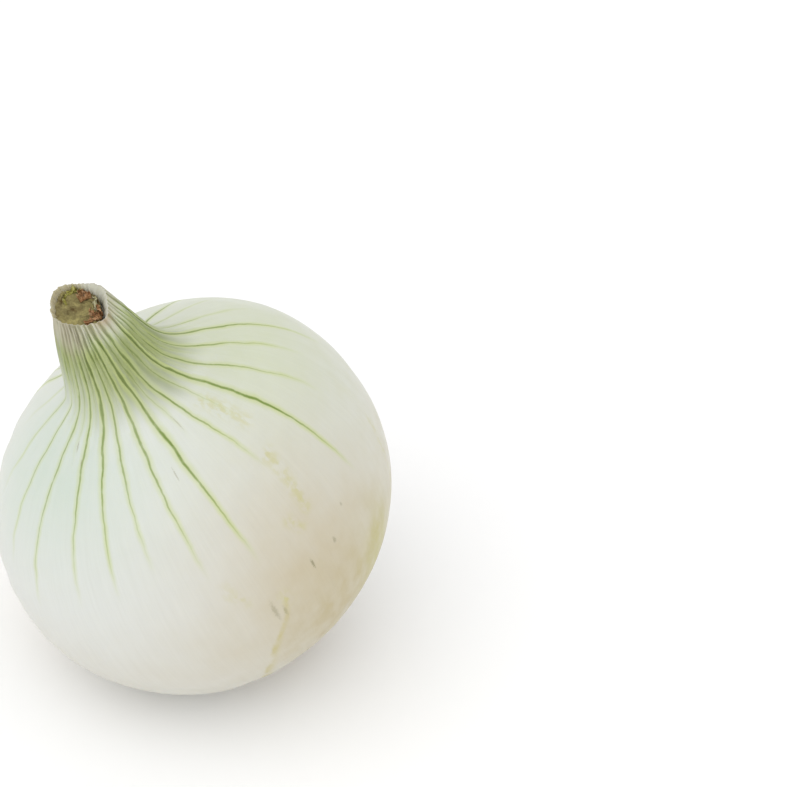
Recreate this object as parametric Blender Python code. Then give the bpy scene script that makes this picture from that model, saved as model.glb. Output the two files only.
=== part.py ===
"""A peeled white onion with its leaf neck cut short, lying tilted on a small flat spot.

The script's units are metres, with +Z up. The origin is the middle of the flat spot that the
onion rests on, and the neck leans towards -X. The onion grew as one piece, so it is one node.
"""

import math

import bmesh
import bpy
from mathutils import Matrix, Vector

MM = 0.001

# The bulb, in metres and degrees. Heights run along the onion's own axis from its widest ring,
# up to the neck and down to the root plate. Angles around the axis start at the side away from
# the lean and run anticlockwise as seen from the neck.
GIRTH_RADIUS = 40.0 * MM
ROOT_DEPTH = 34.2 * MM
SHOULDER_HEIGHT = 36.0 * MM
ROOT_FULLNESS = 2.08
SHOULDER_FULLNESS = 2.15
OVALNESS = 0.02
OVAL_AT = 63.0
THREE_SIDEDNESS = 0.011
THREE_SIDED_AT = -72.0
SHOULDER_SLOPE = 0.05
SHOULDER_HIGH_AT = 32.0
SHOULDER_SLOPE_ENDS = 30.0 * MM
NECK_LEVEL_FROM = 42.0 * MM

# The neck, which flares out into the shoulder, and its cut end.
NECK_HEIGHT = 52.4 * MM
NECK_TIP_RADIUS = 5.5 * MM
NECK_FLARE = 0.32
NECK_BLEND = 3.8
NECK_BEND = 1.7 * MM
NECK_BENDS_TO = 86.0
NECK_BEND_STARTS = 18.0 * MM
CUT_SLANT = 2.0 * MM
CUT_HIGH_AT = 128.0
NECK_WALL = 1.2 * MM
CUT_RECESS = 1.6 * MM

# The root plate, a shallow dish at the bottom end of the axis.
PLATE_RADIUS = 6.8 * MM
PLATE_LIP = 1.2 * MM
PLATE_RECESS = 0.7 * MM

# How it lies.
LEAN = 23.5
FLAT_DEPTH = 1.0 * MM

SECTORS = 64
ROOT_RINGS = 13
NECK_RINGS = 24

SKIN_COLOUR = (0.72, 0.75, 0.62, 1.0)
SKIN_ROUGHNESS = 0.42


def share_of_girth(height):
    """The bulb's radius at a height, as a share of its girth: a rounded, slightly full curve."""
    if height < 0:
        reach, fullness = ROOT_DEPTH, ROOT_FULLNESS
    else:
        reach, fullness = SHOULDER_HEIGHT, SHOULDER_FULLNESS
    risen = min(abs(height) / reach, 1.0)
    return (1.0 - risen**fullness) ** (1.0 / fullness)


def bulb_radius(height, around):
    """The bulb without its neck, a little oval and a little three-sided."""
    oval = OVALNESS * math.cos(2 * (around - math.radians(OVAL_AT)))
    three_sided = THREE_SIDEDNESS * math.cos(3 * (around - math.radians(THREE_SIDED_AT)))
    return GIRTH_RADIUS * share_of_girth(height) * (1 + oval + three_sided)


def neck_radius(height):
    """The neck widens steadily downwards and fades out inside the upper bulb."""
    fade = min(max(height / (NECK_HEIGHT / 2.5), 0.0), 1.0)
    return fade * (NECK_TIP_RADIUS + NECK_FLARE * max(NECK_HEIGHT - height, 0.0))


def body_radius(height, around):
    """Bulb and neck run into each other with no crease."""
    bulb = bulb_radius(height, around)
    neck = neck_radius(height)
    return (bulb**NECK_BLEND + neck**NECK_BLEND) ** (1.0 / NECK_BLEND)


def shoulder_lift(height, radius, around):
    """One side of the shoulder stands higher; the slope is gone at the girth and at the neck."""
    grow = min(max(height / SHOULDER_HEIGHT, 0.0), 1.0)
    span = NECK_LEVEL_FROM - SHOULDER_SLOPE_ENDS
    die = min(max((NECK_LEVEL_FROM - height) / span, 0.0), 1.0)
    across = radius * math.cos(around - math.radians(SHOULDER_HIGH_AT))
    return SHOULDER_SLOPE * grow * die * across


def neck_shift(height):
    """How far the middle of the neck has bent aside at a height."""
    risen = max(height - NECK_BEND_STARTS, 0.0) / (NECK_HEIGHT - NECK_BEND_STARTS)
    toward = math.radians(NECK_BENDS_TO)
    return NECK_BEND * risen**1.5 * Vector((math.cos(toward), math.sin(toward), 0.0))


def skin_point(height, around):
    """A point of the outside, in the onion's own frame: axis along +Z, widest ring at zero."""
    radius = body_radius(height, around)
    lift = shoulder_lift(height, radius, around)
    out = Vector((radius * math.cos(around), radius * math.sin(around), height + lift))
    return out + neck_shift(height)


def rim_height(around):
    """The neck is cut a little aslant."""
    return NECK_HEIGHT + CUT_SLANT * math.cos(around - math.radians(CUT_HIGH_AT))


def sector_angles():
    return [2 * math.pi * i / SECTORS for i in range(SECTORS)]


def root_ring_heights():
    """Heights from the edge of the root plate up to just below the widest ring."""
    first = math.asin((PLATE_RADIUS + PLATE_LIP) / GIRTH_RADIUS)
    step = (math.pi / 2 - first) / ROOT_RINGS
    return [-ROOT_DEPTH * math.cos(first + step * i) for i in range(ROOT_RINGS)]


def neck_ring_shares():
    """Shares of the rim height from the widest ring up, closer together towards the neck."""
    return [math.sin(math.pi / 2 * i / NECK_RINGS) for i in range(NECK_RINGS + 1)]


def add_ring(bm, points):
    return [bm.verts.new(point) for point in points]


def join_rings(bm, lower, upper):
    """A band of four-sided faces between two rings, facing out."""
    for i in range(len(lower)):
        j = (i + 1) % len(lower)
        bm.faces.new((lower[i], lower[j], upper[j], upper[i]))


def skin_rings(bm):
    """The outside, from the edge of the root plate to the rim of the cut neck."""
    angles = sector_angles()
    rings = [add_ring(bm, [skin_point(h, a) for a in angles]) for h in root_ring_heights()]
    for share in neck_ring_shares():
        rings.append(add_ring(bm, [skin_point(share * rim_height(a), a) for a in angles]))
    for lower, upper in zip(rings, rings[1:]):
        join_rings(bm, lower, upper)
    return rings[0], rings[-1]


def shrunk(ring, share, drop):
    """The same ring drawn in towards its own middle and moved along the axis."""
    middle = sum((v.co for v in ring), Vector()) / len(ring)
    return [middle + (v.co - middle) * share + Vector((0, 0, drop)) for v in ring]


def close_cut_neck(bm, rim):
    """The dried core sits a little below the rim, as a shallow dish with a raised middle."""
    inner_share = 1 - NECK_WALL / NECK_TIP_RADIUS
    lip = add_ring(bm, shrunk(rim, inner_share, 0.0))
    floor = add_ring(bm, shrunk(rim, inner_share * 0.9, -CUT_RECESS))
    middle = add_ring(bm, shrunk(rim, inner_share * 0.45, -CUT_RECESS * 0.7))
    join_rings(bm, rim, lip)
    join_rings(bm, lip, floor)
    join_rings(bm, floor, middle)
    bm.faces.new(middle)


def close_root(bm, edge):
    """The root plate lies a little inside the curve of the bulb."""
    inner_share = PLATE_RADIUS / (PLATE_RADIUS + PLATE_LIP)
    plate = add_ring(bm, shrunk(edge, inner_share, PLATE_RECESS))
    middle = add_ring(bm, shrunk(edge, inner_share * 0.5, 0.0))
    join_rings(bm, middle, plate)
    join_rings(bm, plate, edge)
    bm.faces.new(list(reversed(middle)))


def lay_on_flat_spot(bm):
    """Lean the onion, slice off the lowest sliver, and put the slice's middle at the origin."""
    lean = Matrix.Rotation(math.radians(-LEAN), 4, "Y")
    bmesh.ops.transform(bm, matrix=lean, verts=bm.verts[:])
    floor = min(v.co.z for v in bm.verts) + FLAT_DEPTH
    everything = bm.verts[:] + bm.edges[:] + bm.faces[:]
    cut = bmesh.ops.bisect_plane(
        bm,
        geom=everything,
        dist=1e-7,
        plane_co=(0, 0, floor),
        plane_no=(0, 0, -1),
        clear_outer=True,
    )
    cut_edges = [e for e in cut["geom_cut"] if isinstance(e, bmesh.types.BMEdge)]
    for edge in cut_edges:
        for vert in edge.verts:
            vert.co.z = floor
    spot = bmesh.ops.contextual_create(bm, geom=cut_edges)["faces"][0]
    middle = spot.calc_center_median_weighted()
    bmesh.ops.translate(bm, vec=-middle, verts=bm.verts[:])


def onion_material():
    material = bpy.data.materials.new("onion_skin")
    material.use_nodes = True
    shader = material.node_tree.nodes["Principled BSDF"]
    shader.inputs["Base Color"].default_value = SKIN_COLOUR
    shader.inputs["Roughness"].default_value = SKIN_ROUGHNESS
    shader.inputs["Metallic"].default_value = 0.0
    return material


def build_onion():
    bm = bmesh.new()
    root_edge, rim = skin_rings(bm)
    close_cut_neck(bm, rim)
    close_root(bm, root_edge)
    lay_on_flat_spot(bm)
    bmesh.ops.recalc_face_normals(bm, faces=bm.faces[:])
    mesh = bpy.data.meshes.new("onion")
    bm.to_mesh(mesh)
    bm.free()
    mesh.shade_smooth()
    mesh.set_sharp_from_angle(angle=math.radians(40))
    mesh.materials.append(onion_material())
    onion = bpy.data.objects.new("onion", mesh)
    bpy.context.scene.collection.objects.link(onion)
    return onion


def main():
    for old in list(bpy.data.objects):
        bpy.data.objects.remove(old)
    build_onion()


main()
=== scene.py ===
# %% [markdown]
# # A white onion, peeled to its moist skin
# An onion bulb is a bud: leaf bases swollen into scales, one wrapped round the next, on a corky
# plate that the roots grew from. The leaves were cut off a short way up, so the neck ends in a
# dry ragged stump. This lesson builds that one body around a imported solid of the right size:
# the skin and its veins, the cut end, and the root plate underneath.

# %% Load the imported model
import math

import bpy
import numpy as np
from mathutils import Matrix, Vector


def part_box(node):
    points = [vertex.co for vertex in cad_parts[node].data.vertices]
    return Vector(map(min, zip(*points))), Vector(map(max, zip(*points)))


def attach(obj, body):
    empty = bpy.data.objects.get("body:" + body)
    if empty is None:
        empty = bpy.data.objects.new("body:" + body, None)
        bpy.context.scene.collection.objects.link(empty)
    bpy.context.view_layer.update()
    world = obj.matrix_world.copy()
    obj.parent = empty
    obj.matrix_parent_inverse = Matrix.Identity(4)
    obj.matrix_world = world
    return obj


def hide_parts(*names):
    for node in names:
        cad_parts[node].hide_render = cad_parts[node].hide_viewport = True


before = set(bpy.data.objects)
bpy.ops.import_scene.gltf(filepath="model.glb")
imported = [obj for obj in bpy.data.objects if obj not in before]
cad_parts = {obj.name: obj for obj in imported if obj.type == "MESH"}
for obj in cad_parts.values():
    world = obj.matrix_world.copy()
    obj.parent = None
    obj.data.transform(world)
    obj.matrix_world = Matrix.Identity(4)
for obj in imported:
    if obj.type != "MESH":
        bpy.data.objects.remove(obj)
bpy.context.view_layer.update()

# %% [markdown]
# ## Colours and nodes
# Colours are written as the hex values a painter would pick from a screen. Blender mixes light
# in linear numbers, so one function turns a hex value into those. One more function adds a
# shader node, sets it up and wires it, which keeps every material below short enough to read.

# %% Helpers for colours and nodes
MM = 0.001


def linear(hex_colour):
    """An sRGB hex colour as linear red, green, blue and full alpha."""
    shares = [int(hex_colour[i : i + 2], 16) / 255 for i in (1, 3, 5)]
    return [s / 12.92 if s <= 0.04045 else ((s + 0.055) / 1.055) ** 2.4 for s in shares] + [1.0]


def add_node(material, kind, inputs=(), **settings):
    """Adds one node. inputs maps a socket's name or number to a value, to another socket, or to
    another node, which stands for its first output."""
    node = material.node_tree.nodes.new(kind)
    for name, value in settings.items():
        setattr(node, name, value)
    for socket, value in dict(inputs).items():
        value = value.outputs[0] if isinstance(value, bpy.types.Node) else value
        if isinstance(value, bpy.types.NodeSocket):
            material.node_tree.links.new(value, node.inputs[socket])
        else:
            node.inputs[socket].default_value = value
    return node


def new_material(name):
    """A material with its starting nodes, and its Principled shader."""
    material = bpy.data.materials.new(name)
    material.use_nodes = True
    return material, material.node_tree.nodes["Principled BSDF"]


print("white as linear light:", linear("#e6e8e2"))

# %% [markdown]
# ## Camera
# The view looks down on the onion from the front at a steep angle through a long lens, which
# keeps the bulb round. The onion sits left of and below the middle of the frame. The camera
# is made first, because the front of the onion is the side that faces it.

# %% Camera
CAMERA_ABOVE_HORIZON = 38.8
CAMERA_DISTANCE = 636.4 * MM
ONION_LEFT_OF_AIM = 39.3 * MM
ONION_BELOW_AIM = 21.3 * MM
LENS_MM = 146.2
SENSOR_MM = 36.0

rise = math.radians(CAMERA_ABOVE_HORIZON)
camera_right = Vector((1, 0, 0))
camera_up = Vector((0, math.sin(rise), math.cos(rise)))
toward_camera = Vector((0, -math.cos(rise), math.sin(rise)))

camera_data = bpy.data.cameras.new("camera")
camera_data.lens = LENS_MM
camera_data.sensor_width = SENSOR_MM
camera = bpy.data.objects.new("camera", camera_data)
bpy.context.scene.collection.objects.link(camera)
bpy.context.scene.camera = camera
camera.rotation_euler = (math.pi / 2 - rise, 0, 0)
print("camera looks down by", CAMERA_ABOVE_HORIZON, "degrees")

# %% [markdown]
# ## The body's form
# A bulb is close to a turned shape, so a formula in two coordinates is enough: the height along
# the onion's own axis, and the angle around it. A power slightly over two makes the curve a
# little fuller than an ellipse. The neck is a flaring cone, and adding both radii with a high
# power runs one into the other with a soft crease, as leaf sheaths run out into the bulb.
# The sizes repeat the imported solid's, in millimetres, so both have the same outline up to the
# torn rim. FRONT is the angle around the axis that veins and stains are counted from. It lies a
# little to the right of the side that faces the camera.

# %% Driving sizes
GIRTH_RADIUS = 40.0
ROOT_DEPTH = 34.2
SHOULDER_HEIGHT = 36.0
ROOT_FULLNESS = 2.08
SHOULDER_FULLNESS = 2.15
OVALNESS, OVAL_AT = 0.02, 63.0
THREE_SIDEDNESS, THREE_SIDED_AT = 0.011, -72.0
SHOULDER_SLOPE, SHOULDER_HIGH_AT = 0.05, 32.0
SHOULDER_SLOPE_ENDS, NECK_LEVEL_FROM = 30.0, 42.0
NECK_HEIGHT = 52.4
NECK_TIP_RADIUS = 5.5
NECK_FLARE = 0.32
NECK_BLEND = 3.8
NECK_FULL_FROM = NECK_HEIGHT / 2.5
NECK_BEND, NECK_BENDS_TO, NECK_BEND_STARTS = 1.7, 86.0, 18.0
PLATE_RADIUS, PLATE_LIP = 6.8, 1.2
LEAN = 23.5
FLAT_DEPTH = 1.0
FRONT = -72.0


def smooth(value, low, high):
    """Rises from 0 at low to 1 at high, with no corner at either end."""
    share = np.clip((value - low) / (high - low), 0, 1)
    return share * share * (3 - 2 * share)


def share_of_girth(height):
    reach = np.where(height < 0, ROOT_DEPTH, SHOULDER_HEIGHT)
    fullness = np.where(height < 0, ROOT_FULLNESS, SHOULDER_FULLNESS)
    risen = np.clip(np.abs(height) / reach, 0, 1)
    return (1 - risen**fullness) ** (1 / fullness)


def run_together(bulb, height):
    """The bulb's radius with the neck's flaring cone run into it."""
    cone = NECK_TIP_RADIUS + NECK_FLARE * np.clip(NECK_HEIGHT - height, 0, None)
    neck = np.clip(height / NECK_FULL_FROM, 0, 1) * cone
    return (bulb**NECK_BLEND + neck**NECK_BLEND) ** (1 / NECK_BLEND)


def body_radius(height, around):
    oval = OVALNESS * np.cos(2 * (around - math.radians(OVAL_AT)))
    three_sided = THREE_SIDEDNESS * np.cos(3 * (around - math.radians(THREE_SIDED_AT)))
    bulb = GIRTH_RADIUS * share_of_girth(height) * (1 + oval + three_sided)
    return run_together(bulb, height)


def neck_shift(height):
    risen = np.clip(height - NECK_BEND_STARTS, 0, None) / (NECK_HEIGHT - NECK_BEND_STARTS)
    toward = math.radians(NECK_BENDS_TO)
    shift = NECK_BEND * risen**1.5
    return shift * math.cos(toward), shift * math.sin(toward)


def body_point(height, around, radius=None):
    """Points of the outside in the onion's own frame, with the axis along +Z."""
    radius = body_radius(height, around) if radius is None else radius
    grow = np.clip(height / SHOULDER_HEIGHT, 0, 1)
    die = np.clip((NECK_LEVEL_FROM - height) / (NECK_LEVEL_FROM - SHOULDER_SLOPE_ENDS), 0, 1)
    across = radius * np.cos(around - math.radians(SHOULDER_HIGH_AT))
    shift_x, shift_y = neck_shift(height)
    x = radius * np.cos(around) + shift_x
    y = radius * np.sin(around) + shift_y
    return np.stack([x, y, height + SHOULDER_SLOPE * grow * die * across], axis=-1)


print("widest radius, mm:", round(float(body_radius(np.linspace(-9, 9, 99), 0.0).max()), 1))

# %% [markdown]
# Veins, stains and wrinkles are easier to place by how far down they lie from the cut end,
# measured over the skin with a tape, than by height. The tape runs down an average side.

# %% A tape measure down the side
tape_heights = np.concatenate(
    [
        NECK_HEIGHT * np.cos(np.linspace(0, math.pi / 2, 900)),
        -ROOT_DEPTH * np.sin(np.linspace(0, math.pi / 2, 500))[1:],
    ]
)
tape_radii = run_together(share_of_girth(tape_heights) * GIRTH_RADIUS, tape_heights)
tape_steps = np.hypot(np.diff(tape_heights), np.diff(tape_radii))
tape_marks = np.concatenate([[0], np.cumsum(tape_steps)])
skin_ends = float(np.interp(-(PLATE_RADIUS + PLATE_LIP), -tape_radii[900:], tape_marks[900:]))
print("over the skin from cut end to root plate, mm:", round(skin_ends, 1))


def height_down(distance):
    """The height of the average side at a distance down the tape."""
    return np.interp(distance, tape_marks, tape_heights)


# %% [markdown]
# ## Laying it down
# The onion leans on the side of its base. Everything is modelled upright in millimetres, and
# one function leans it, lowers it into the floor by the depth of its flat spot, and moves it
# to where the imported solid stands.

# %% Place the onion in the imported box
lean_matrix = np.array(Matrix.Rotation(math.radians(-LEAN), 3, "Y"))
survey_heights, survey_angles = np.meshgrid(tape_heights, np.linspace(0, 2 * math.pi, 361))
survey = body_point(survey_heights, survey_angles).reshape(-1, 3) @ lean_matrix.T
node_low, node_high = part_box("onion")
survey_middle = (survey.min(0) + survey.max(0)) / 2
packed_middle = np.array((node_low + node_high) / 2) / MM
shift = packed_middle - survey_middle
shift[2] = -(survey[:, 2].min() + FLAT_DEPTH)
FLOOR_SOFTNESS = 0.12


def place(points):
    """Upright millimetres to the leaning onion's place in metres, flattened at the floor."""
    moved = np.asarray(points, float) @ lean_matrix.T + shift
    height = moved[..., 2]
    moved[..., 2] = (height + np.sqrt(height**2 + FLOOR_SOFTNESS**2)) / 2
    return moved * MM


onion_middle = Vector(shift) * MM
camera.location = (
    onion_middle
    + toward_camera * CAMERA_DISTANCE
    + camera_right * ONION_LEFT_OF_AIM
    + camera_up * ONION_BELOW_AIM
)
print("middle of the bulb, mm:", [round(v, 1) for v in shift])

# %% [markdown]
# ## Veins
# Each vein is a bundle of vessels that ran up into a leaf. It enters at the neck, spreads with
# the shoulder and thins out to nothing before the girth. A short list says where each of the
# strong ones lies: its angle from the front at the neck, at the shoulder and at its end, how
# far down it reaches, and how vigorous it is. A second list has weak ones that run out early
# between them. The far side is drawn from a seeded random source, with the same spacing.

# %% Where the veins run
NECK_MARK, SHOULDER_MARK = 3.0, 20.0
STRONG_VEINS = (
    (-100, -110, -112, 33, 0.30),
    (-84, -89, -92, 42, 0.38),
    (-66, -71, -75, 51, 0.45),
    (-50, -55, -63, 58, 0.55),
    (-37, -39, -44, 55, 0.62),
    (-27, -27, -30, 54, 0.80),
    (-18, -17, -17, 51, 0.60),
    (-8, -5, -4, 56, 0.70),
    (1, 7, 10.5, 59, 0.92),
    (18, 24, 30, 46, 0.75),
    (43, 45, 53, 63, 1.00),
    (57, 58, 67, 49, 0.62),
    (73, 75, 80, 45, 0.72),
    (88, 92, 92.5, 51, 0.90),
    (103, 107, 107, 38, 0.50),
    (119, 125, 125, 37, 0.50),
)
WEAK_VEINS = (
    (-58, -62, -63, 24, 0.22),
    (-44, -47, -47, 29, 0.20),
    (-31, -33, -34, 22, 0.25),
    (-12, -11, -11, 20, 0.30),
    (10, 16, 17, 30, 0.28),
    (31, 36, 37, 36, 0.30),
    (50, 52, 53, 21, 0.30),
    (65, 67, 68, 23, 0.30),
    (96, 99, 99, 24, 0.22),
)


def far_side_veins():
    """Veins of the side turned away, spaced and sized like the ones in the list."""
    chance = np.random.default_rng(7)
    veins, at = [], STRONG_VEINS[-1][1] + 15.0
    while at < 360 + STRONG_VEINS[0][1] - 8:
        reach = chance.uniform(34, 60)
        drift = chance.uniform(-4, 4)
        veins.append((at - drift, at, at + drift, reach, chance.uniform(0.4, 1.0)))
        veins.append((at + 7, at + 7, at + 7, chance.uniform(18, 30), chance.uniform(0.2, 0.35)))
        at += chance.uniform(11, 18)
    return veins


veins = np.array(STRONG_VEINS + WEAK_VEINS + tuple(far_side_veins()))
print("veins:", len(veins))


def vein_sides(down):
    """The angle from the front of every vein at the given distances down, one column each."""
    columns = []
    for neck, shoulder, end, reach, _ in veins:
        marks = (NECK_MARK, SHOULDER_MARK, max(reach, SHOULDER_MARK + 1))
        columns.append(np.interp(down, marks, (neck, shoulder, end)))
    return np.stack(columns, axis=-1)


def wrapped(degrees):
    """The same angle between -180 and 180."""
    return (degrees + 180) % 360 - 180


# %% [markdown]
# ## The skin's relief
# Fine shape belongs in the mesh wherever it changes the outline: the leaf sheaths dry into
# pleats between the veins of the neck, which die out over the shoulder, and the bulb itself
# is never a perfect curve. A displacement texture could do this too, but formulas on a grid
# keep the real depths in millimetres. The grid is finest on the neck, where a pleat is a
# millimetre wide.

# %% Grid sizes and waves
COLUMNS = 360
NECK_STEP, BULB_STEP = 0.30, 0.66
FINE_UNTIL = 24.0

row_down = np.concatenate(
    [np.arange(0, FINE_UNTIL, NECK_STEP), np.arange(FINE_UNTIL, skin_ends, BULB_STEP)]
)
column_around = np.linspace(0, 2 * math.pi, COLUMNS, endpoint=False)
print("rings down the skin:", len(row_down))


def waves(angle, seed, lowest, highest, count):
    """A sum of waves around the axis with random strengths, between -1 and 1 for the most part."""
    chance = np.random.default_rng(seed)
    total = np.zeros_like(angle)
    for _ in range(count):
        turns = chance.integers(lowest, highest + 1)
        total += chance.uniform(0.4, 1) * np.cos(turns * angle + chance.uniform(0, 2 * math.pi))
    return total / math.sqrt(count)


# %% Relief of the skin, in millimetres
NECK_PLEAT, SHOULDER_PLEAT = 0.34, 0.10
WRINKLE, SWELL, LUMP = 0.05, 0.16, 0.10


def pleats(side, down):
    """Rounded panels between neighbouring veins, from -0.5 in the grooves to 0.5 on the panels."""
    sides = vein_sides(down[:, 0])
    depth = np.empty_like(side)
    for i in range(len(side)):
        gaps = np.abs(wrapped(side[i][:, None] - sides[i][None, :]))
        nearest = np.sort(gaps, axis=1)[:, :2]
        depth[i] = np.sin(math.pi * nearest[:, 0] / (nearest.sum(axis=1) + 1e-6)) - 0.5
    return depth


def relief(side, down, around):
    """How far the skin stands out from the plain body."""
    pleat_depth = NECK_PLEAT * (1 - smooth(down, 8, 20))
    pleat_depth += SHOULDER_PLEAT * (1 - smooth(down, 14, 34))
    pleat_depth *= 0.45 + 0.55 * smooth(down, 0, 4)
    wrinkles = WRINKLE * (1 - smooth(down, 4, 16)) * waves(around + 0.02 * down, 3, 50, 95, 9)
    swell = SWELL * waves(around, 5, 3, 7, 4) * smooth(down, 16, 40)
    lumps = LUMP * waves(around + 0.06 * down, 11, 8, 16, 5) * smooth(down, 14, 24)
    return pleat_depth * pleats(side, down) + wrinkles + swell + lumps


print("deepest pleats, mm:", NECK_PLEAT + SHOULDER_PLEAT)

# %% [markdown]
# ## Building the skin
# The skin is one closed sheet of quads: rings down the outside, a lip and an inner wall inside
# the cut neck, and a hollow for the root plate. Sculpting would give no control over where a
# vein meets the rim. With rings and columns every point has an angle and a distance down, and
# all patterns below are written in those two.

# %% Grid of the skin
down_grid, around_grid = np.meshgrid(row_down, column_around, indexing="ij")
side_grid = wrapped(np.degrees(around_grid) - FRONT)
nominal = height_down(down_grid)
print("grid:", down_grid.shape)

# %% [markdown]
# A knife cut the leaves off at a slant, and the end dried and tore. The rim dips at a withered
# notch and a little at the back, and the dried neck is slightly four-cornered. Heights are in
# millimetres, angles and widths in degrees from the front.

# %% Torn rim of the cut neck
CUT_SLANT, CUT_HIGH_AT = 2.1, 212.0
NOTCH_DEPTH, NOTCH_AT, NOTCH_WIDTH = 0.7, 38.0, 16.0
BACK_DIP, BACK_DIP_AT, BACK_DIP_WIDTH = 0.6, 165.0, 24.0
RIM_SHARE, CORNER_SHARE, FIRST_CORNER = 0.95, 0.05, -70.0


def torn_rim(side, around):
    """Height over the straight cut and share of the neck's radius, around the rim."""
    slant = CUT_SLANT * np.cos(np.radians(side - CUT_HIGH_AT))
    notch = NOTCH_DEPTH * np.exp(-(wrapped(side - NOTCH_AT) ** 2) / (2 * NOTCH_WIDTH**2))
    dip = BACK_DIP * np.exp(-(wrapped(side - BACK_DIP_AT) ** 2) / (2 * BACK_DIP_WIDTH**2))
    corners = CORNER_SHARE * np.cos(4 * np.radians(side - FIRST_CORNER))
    return slant - notch - dip + 0.10 * waves(around, 21, 9, 30, 9), RIM_SHARE + corners


rim_rise, rim_share = torn_rim(side_grid, around_grid)
heights = np.where(nominal > 0, nominal * (1 + rim_rise / NECK_HEIGHT), nominal)
tip_radii = body_radius(heights, around_grid)
tip_radii *= 1 + (rim_share - 1) * (1 - smooth(down_grid, 0, 6))
base = body_point(heights, around_grid, tip_radii)
print("rim is uneven by, mm:", round(float(np.ptp(rim_rise[0])), 1))

# %% [markdown]
# Two surfaces that meet in a crease look like two pieces. A sheath runs out into the bulb in one
# sweep, so the rings near the crease are averaged with their neighbours, and the corner fills.
# The sweep is wide in front and tighter on the left.

# %% Fill the crease under the neck
FILLET_MM = 3.2


def filleted(points, side, down):
    """The grid with its rings near the crease averaged along the tape."""
    gaps = (row_down[:, None] - row_down[None, :]) / FILLET_MM
    weights = np.exp(-(gaps**2) / 2) * np.gradient(row_down)[None, :]
    weights /= weights.sum(axis=1, keepdims=True)
    averaged = np.einsum("ik,kjc->ijc", weights, points)
    near = smooth(down, 5, 12) * (1 - smooth(down, 26, 36))
    wide = 0.45 + 0.55 * smooth(np.cos(np.radians(side - 30)), -0.6, 0.5)
    return points + (near * wide)[..., None] * (averaged - points)


sharp = base
base = filleted(base, side_grid, down_grid)
print("crease filled by, mm:", round(float(np.linalg.norm(base - sharp, axis=-1).max()), 2))

# %% [markdown]
# The relief is added along the surface's own direction, so a pleat on the steep neck is as deep
# as one on the flat shoulder.

# %% The outside with its relief
down_slope = np.gradient(base, axis=0)
across_slope = np.roll(base, -1, axis=1) - np.roll(base, 1, axis=1)
normals = np.cross(down_slope, across_slope)
normals /= np.linalg.norm(normals, axis=-1, keepdims=True)
outside = base + normals * relief(side_grid, down_grid, around_grid)[..., None]
print("rings:", len(outside), "columns:", COLUMNS)

# %% [markdown]
# Below the lip the wall of the neck is thin at its torn edge and thicker further in. Every inner
# ring copies an outer one and steps inwards from it, so the pleats show on both faces and the
# wall never cuts through itself. On the right a pale leaf still clings to the wall inside, so the
# wall is nearly three times as thick there and slopes in gently. Each row of LIP is a ring's
# number, the wall's thickness there and how far the ring is lifted, in millimetres. Each row of
# ROOT_HOLLOW is a share of the radius at the skin's end and how far that ring is lifted.

# %% Lip, inner wall and root hollow
LIP = (
    (0, 0.14, 0.06),
    (1, 0.34, 0.0),
    (3, 0.55, 0.0),
    (6, 0.8, 0.0),
    (10, 1.0, 0.0),
    (14, 1.1, 0.0),
)
CLINGING_LEAF, CLINGING_LIFT, CLINGS_AT = 1.9, 0.62, 88.0
ROOT_HOLLOW = ((0.93, 0.25), (0.86, 1.1), (0.80, 1.6), (0.40, 1.7))
CUP_FLOOR_SHARE = 0.5

clinging = smooth(np.cos(np.radians(side_grid[0] - CLINGS_AT)), 0.0, 0.9)
rings, ring_down = [], []
for row, wall, lift in reversed(LIP):
    walls = wall * (1 + CLINGING_LEAF * clinging)
    lifts = lift + CLINGING_LIFT * row_down[row] * clinging
    rings.append(outside[row] - normals[row] * walls[:, None] + lifts[:, None] * [0, 0, 1])
    ring_down.append(-row_down[row] - 0.5)
cup_middle = rings[0].mean(axis=0)
rings.insert(0, cup_middle + (rings[0] - cup_middle) * CUP_FLOOR_SHARE)
ring_down.insert(0, ring_down[0] - 2.0)
rings.extend(outside)
ring_down.extend(row_down)
plate_edge = outside[-1]
plate_middle = plate_edge.mean(axis=0)
for share, rise_mm in ROOT_HOLLOW:
    rings.append(plate_middle + (plate_edge - plate_middle) * share + np.array([0, 0, rise_mm]))
    ring_down.append(skin_ends + 8 * (1 - share))
rings, ring_down = np.array(rings), np.array(ring_down)
ring_count = len(rings)
ring_side = wrapped(np.degrees(column_around) - FRONT)[None, :] * np.ones((ring_count, 1))
ring_around = column_around[None, :] * np.ones((ring_count, 1))
down_all = ring_down[:, None] * np.ones((1, COLUMNS))
print("rings in all:", ring_count)

# %% [markdown]
# Two values have to be known at every corner of every face, not only at its points: how far
# the corner lies to the side of the nearest vein, and how much of that vein is left. Halfway
# between two veins the nearest one changes, and a value kept at points would be smeared there
# into a false vein.

# %% Distance to the nearest vein at every corner
FAR_FROM_VEINS = 99.0
ENDED = 1000.0


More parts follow.
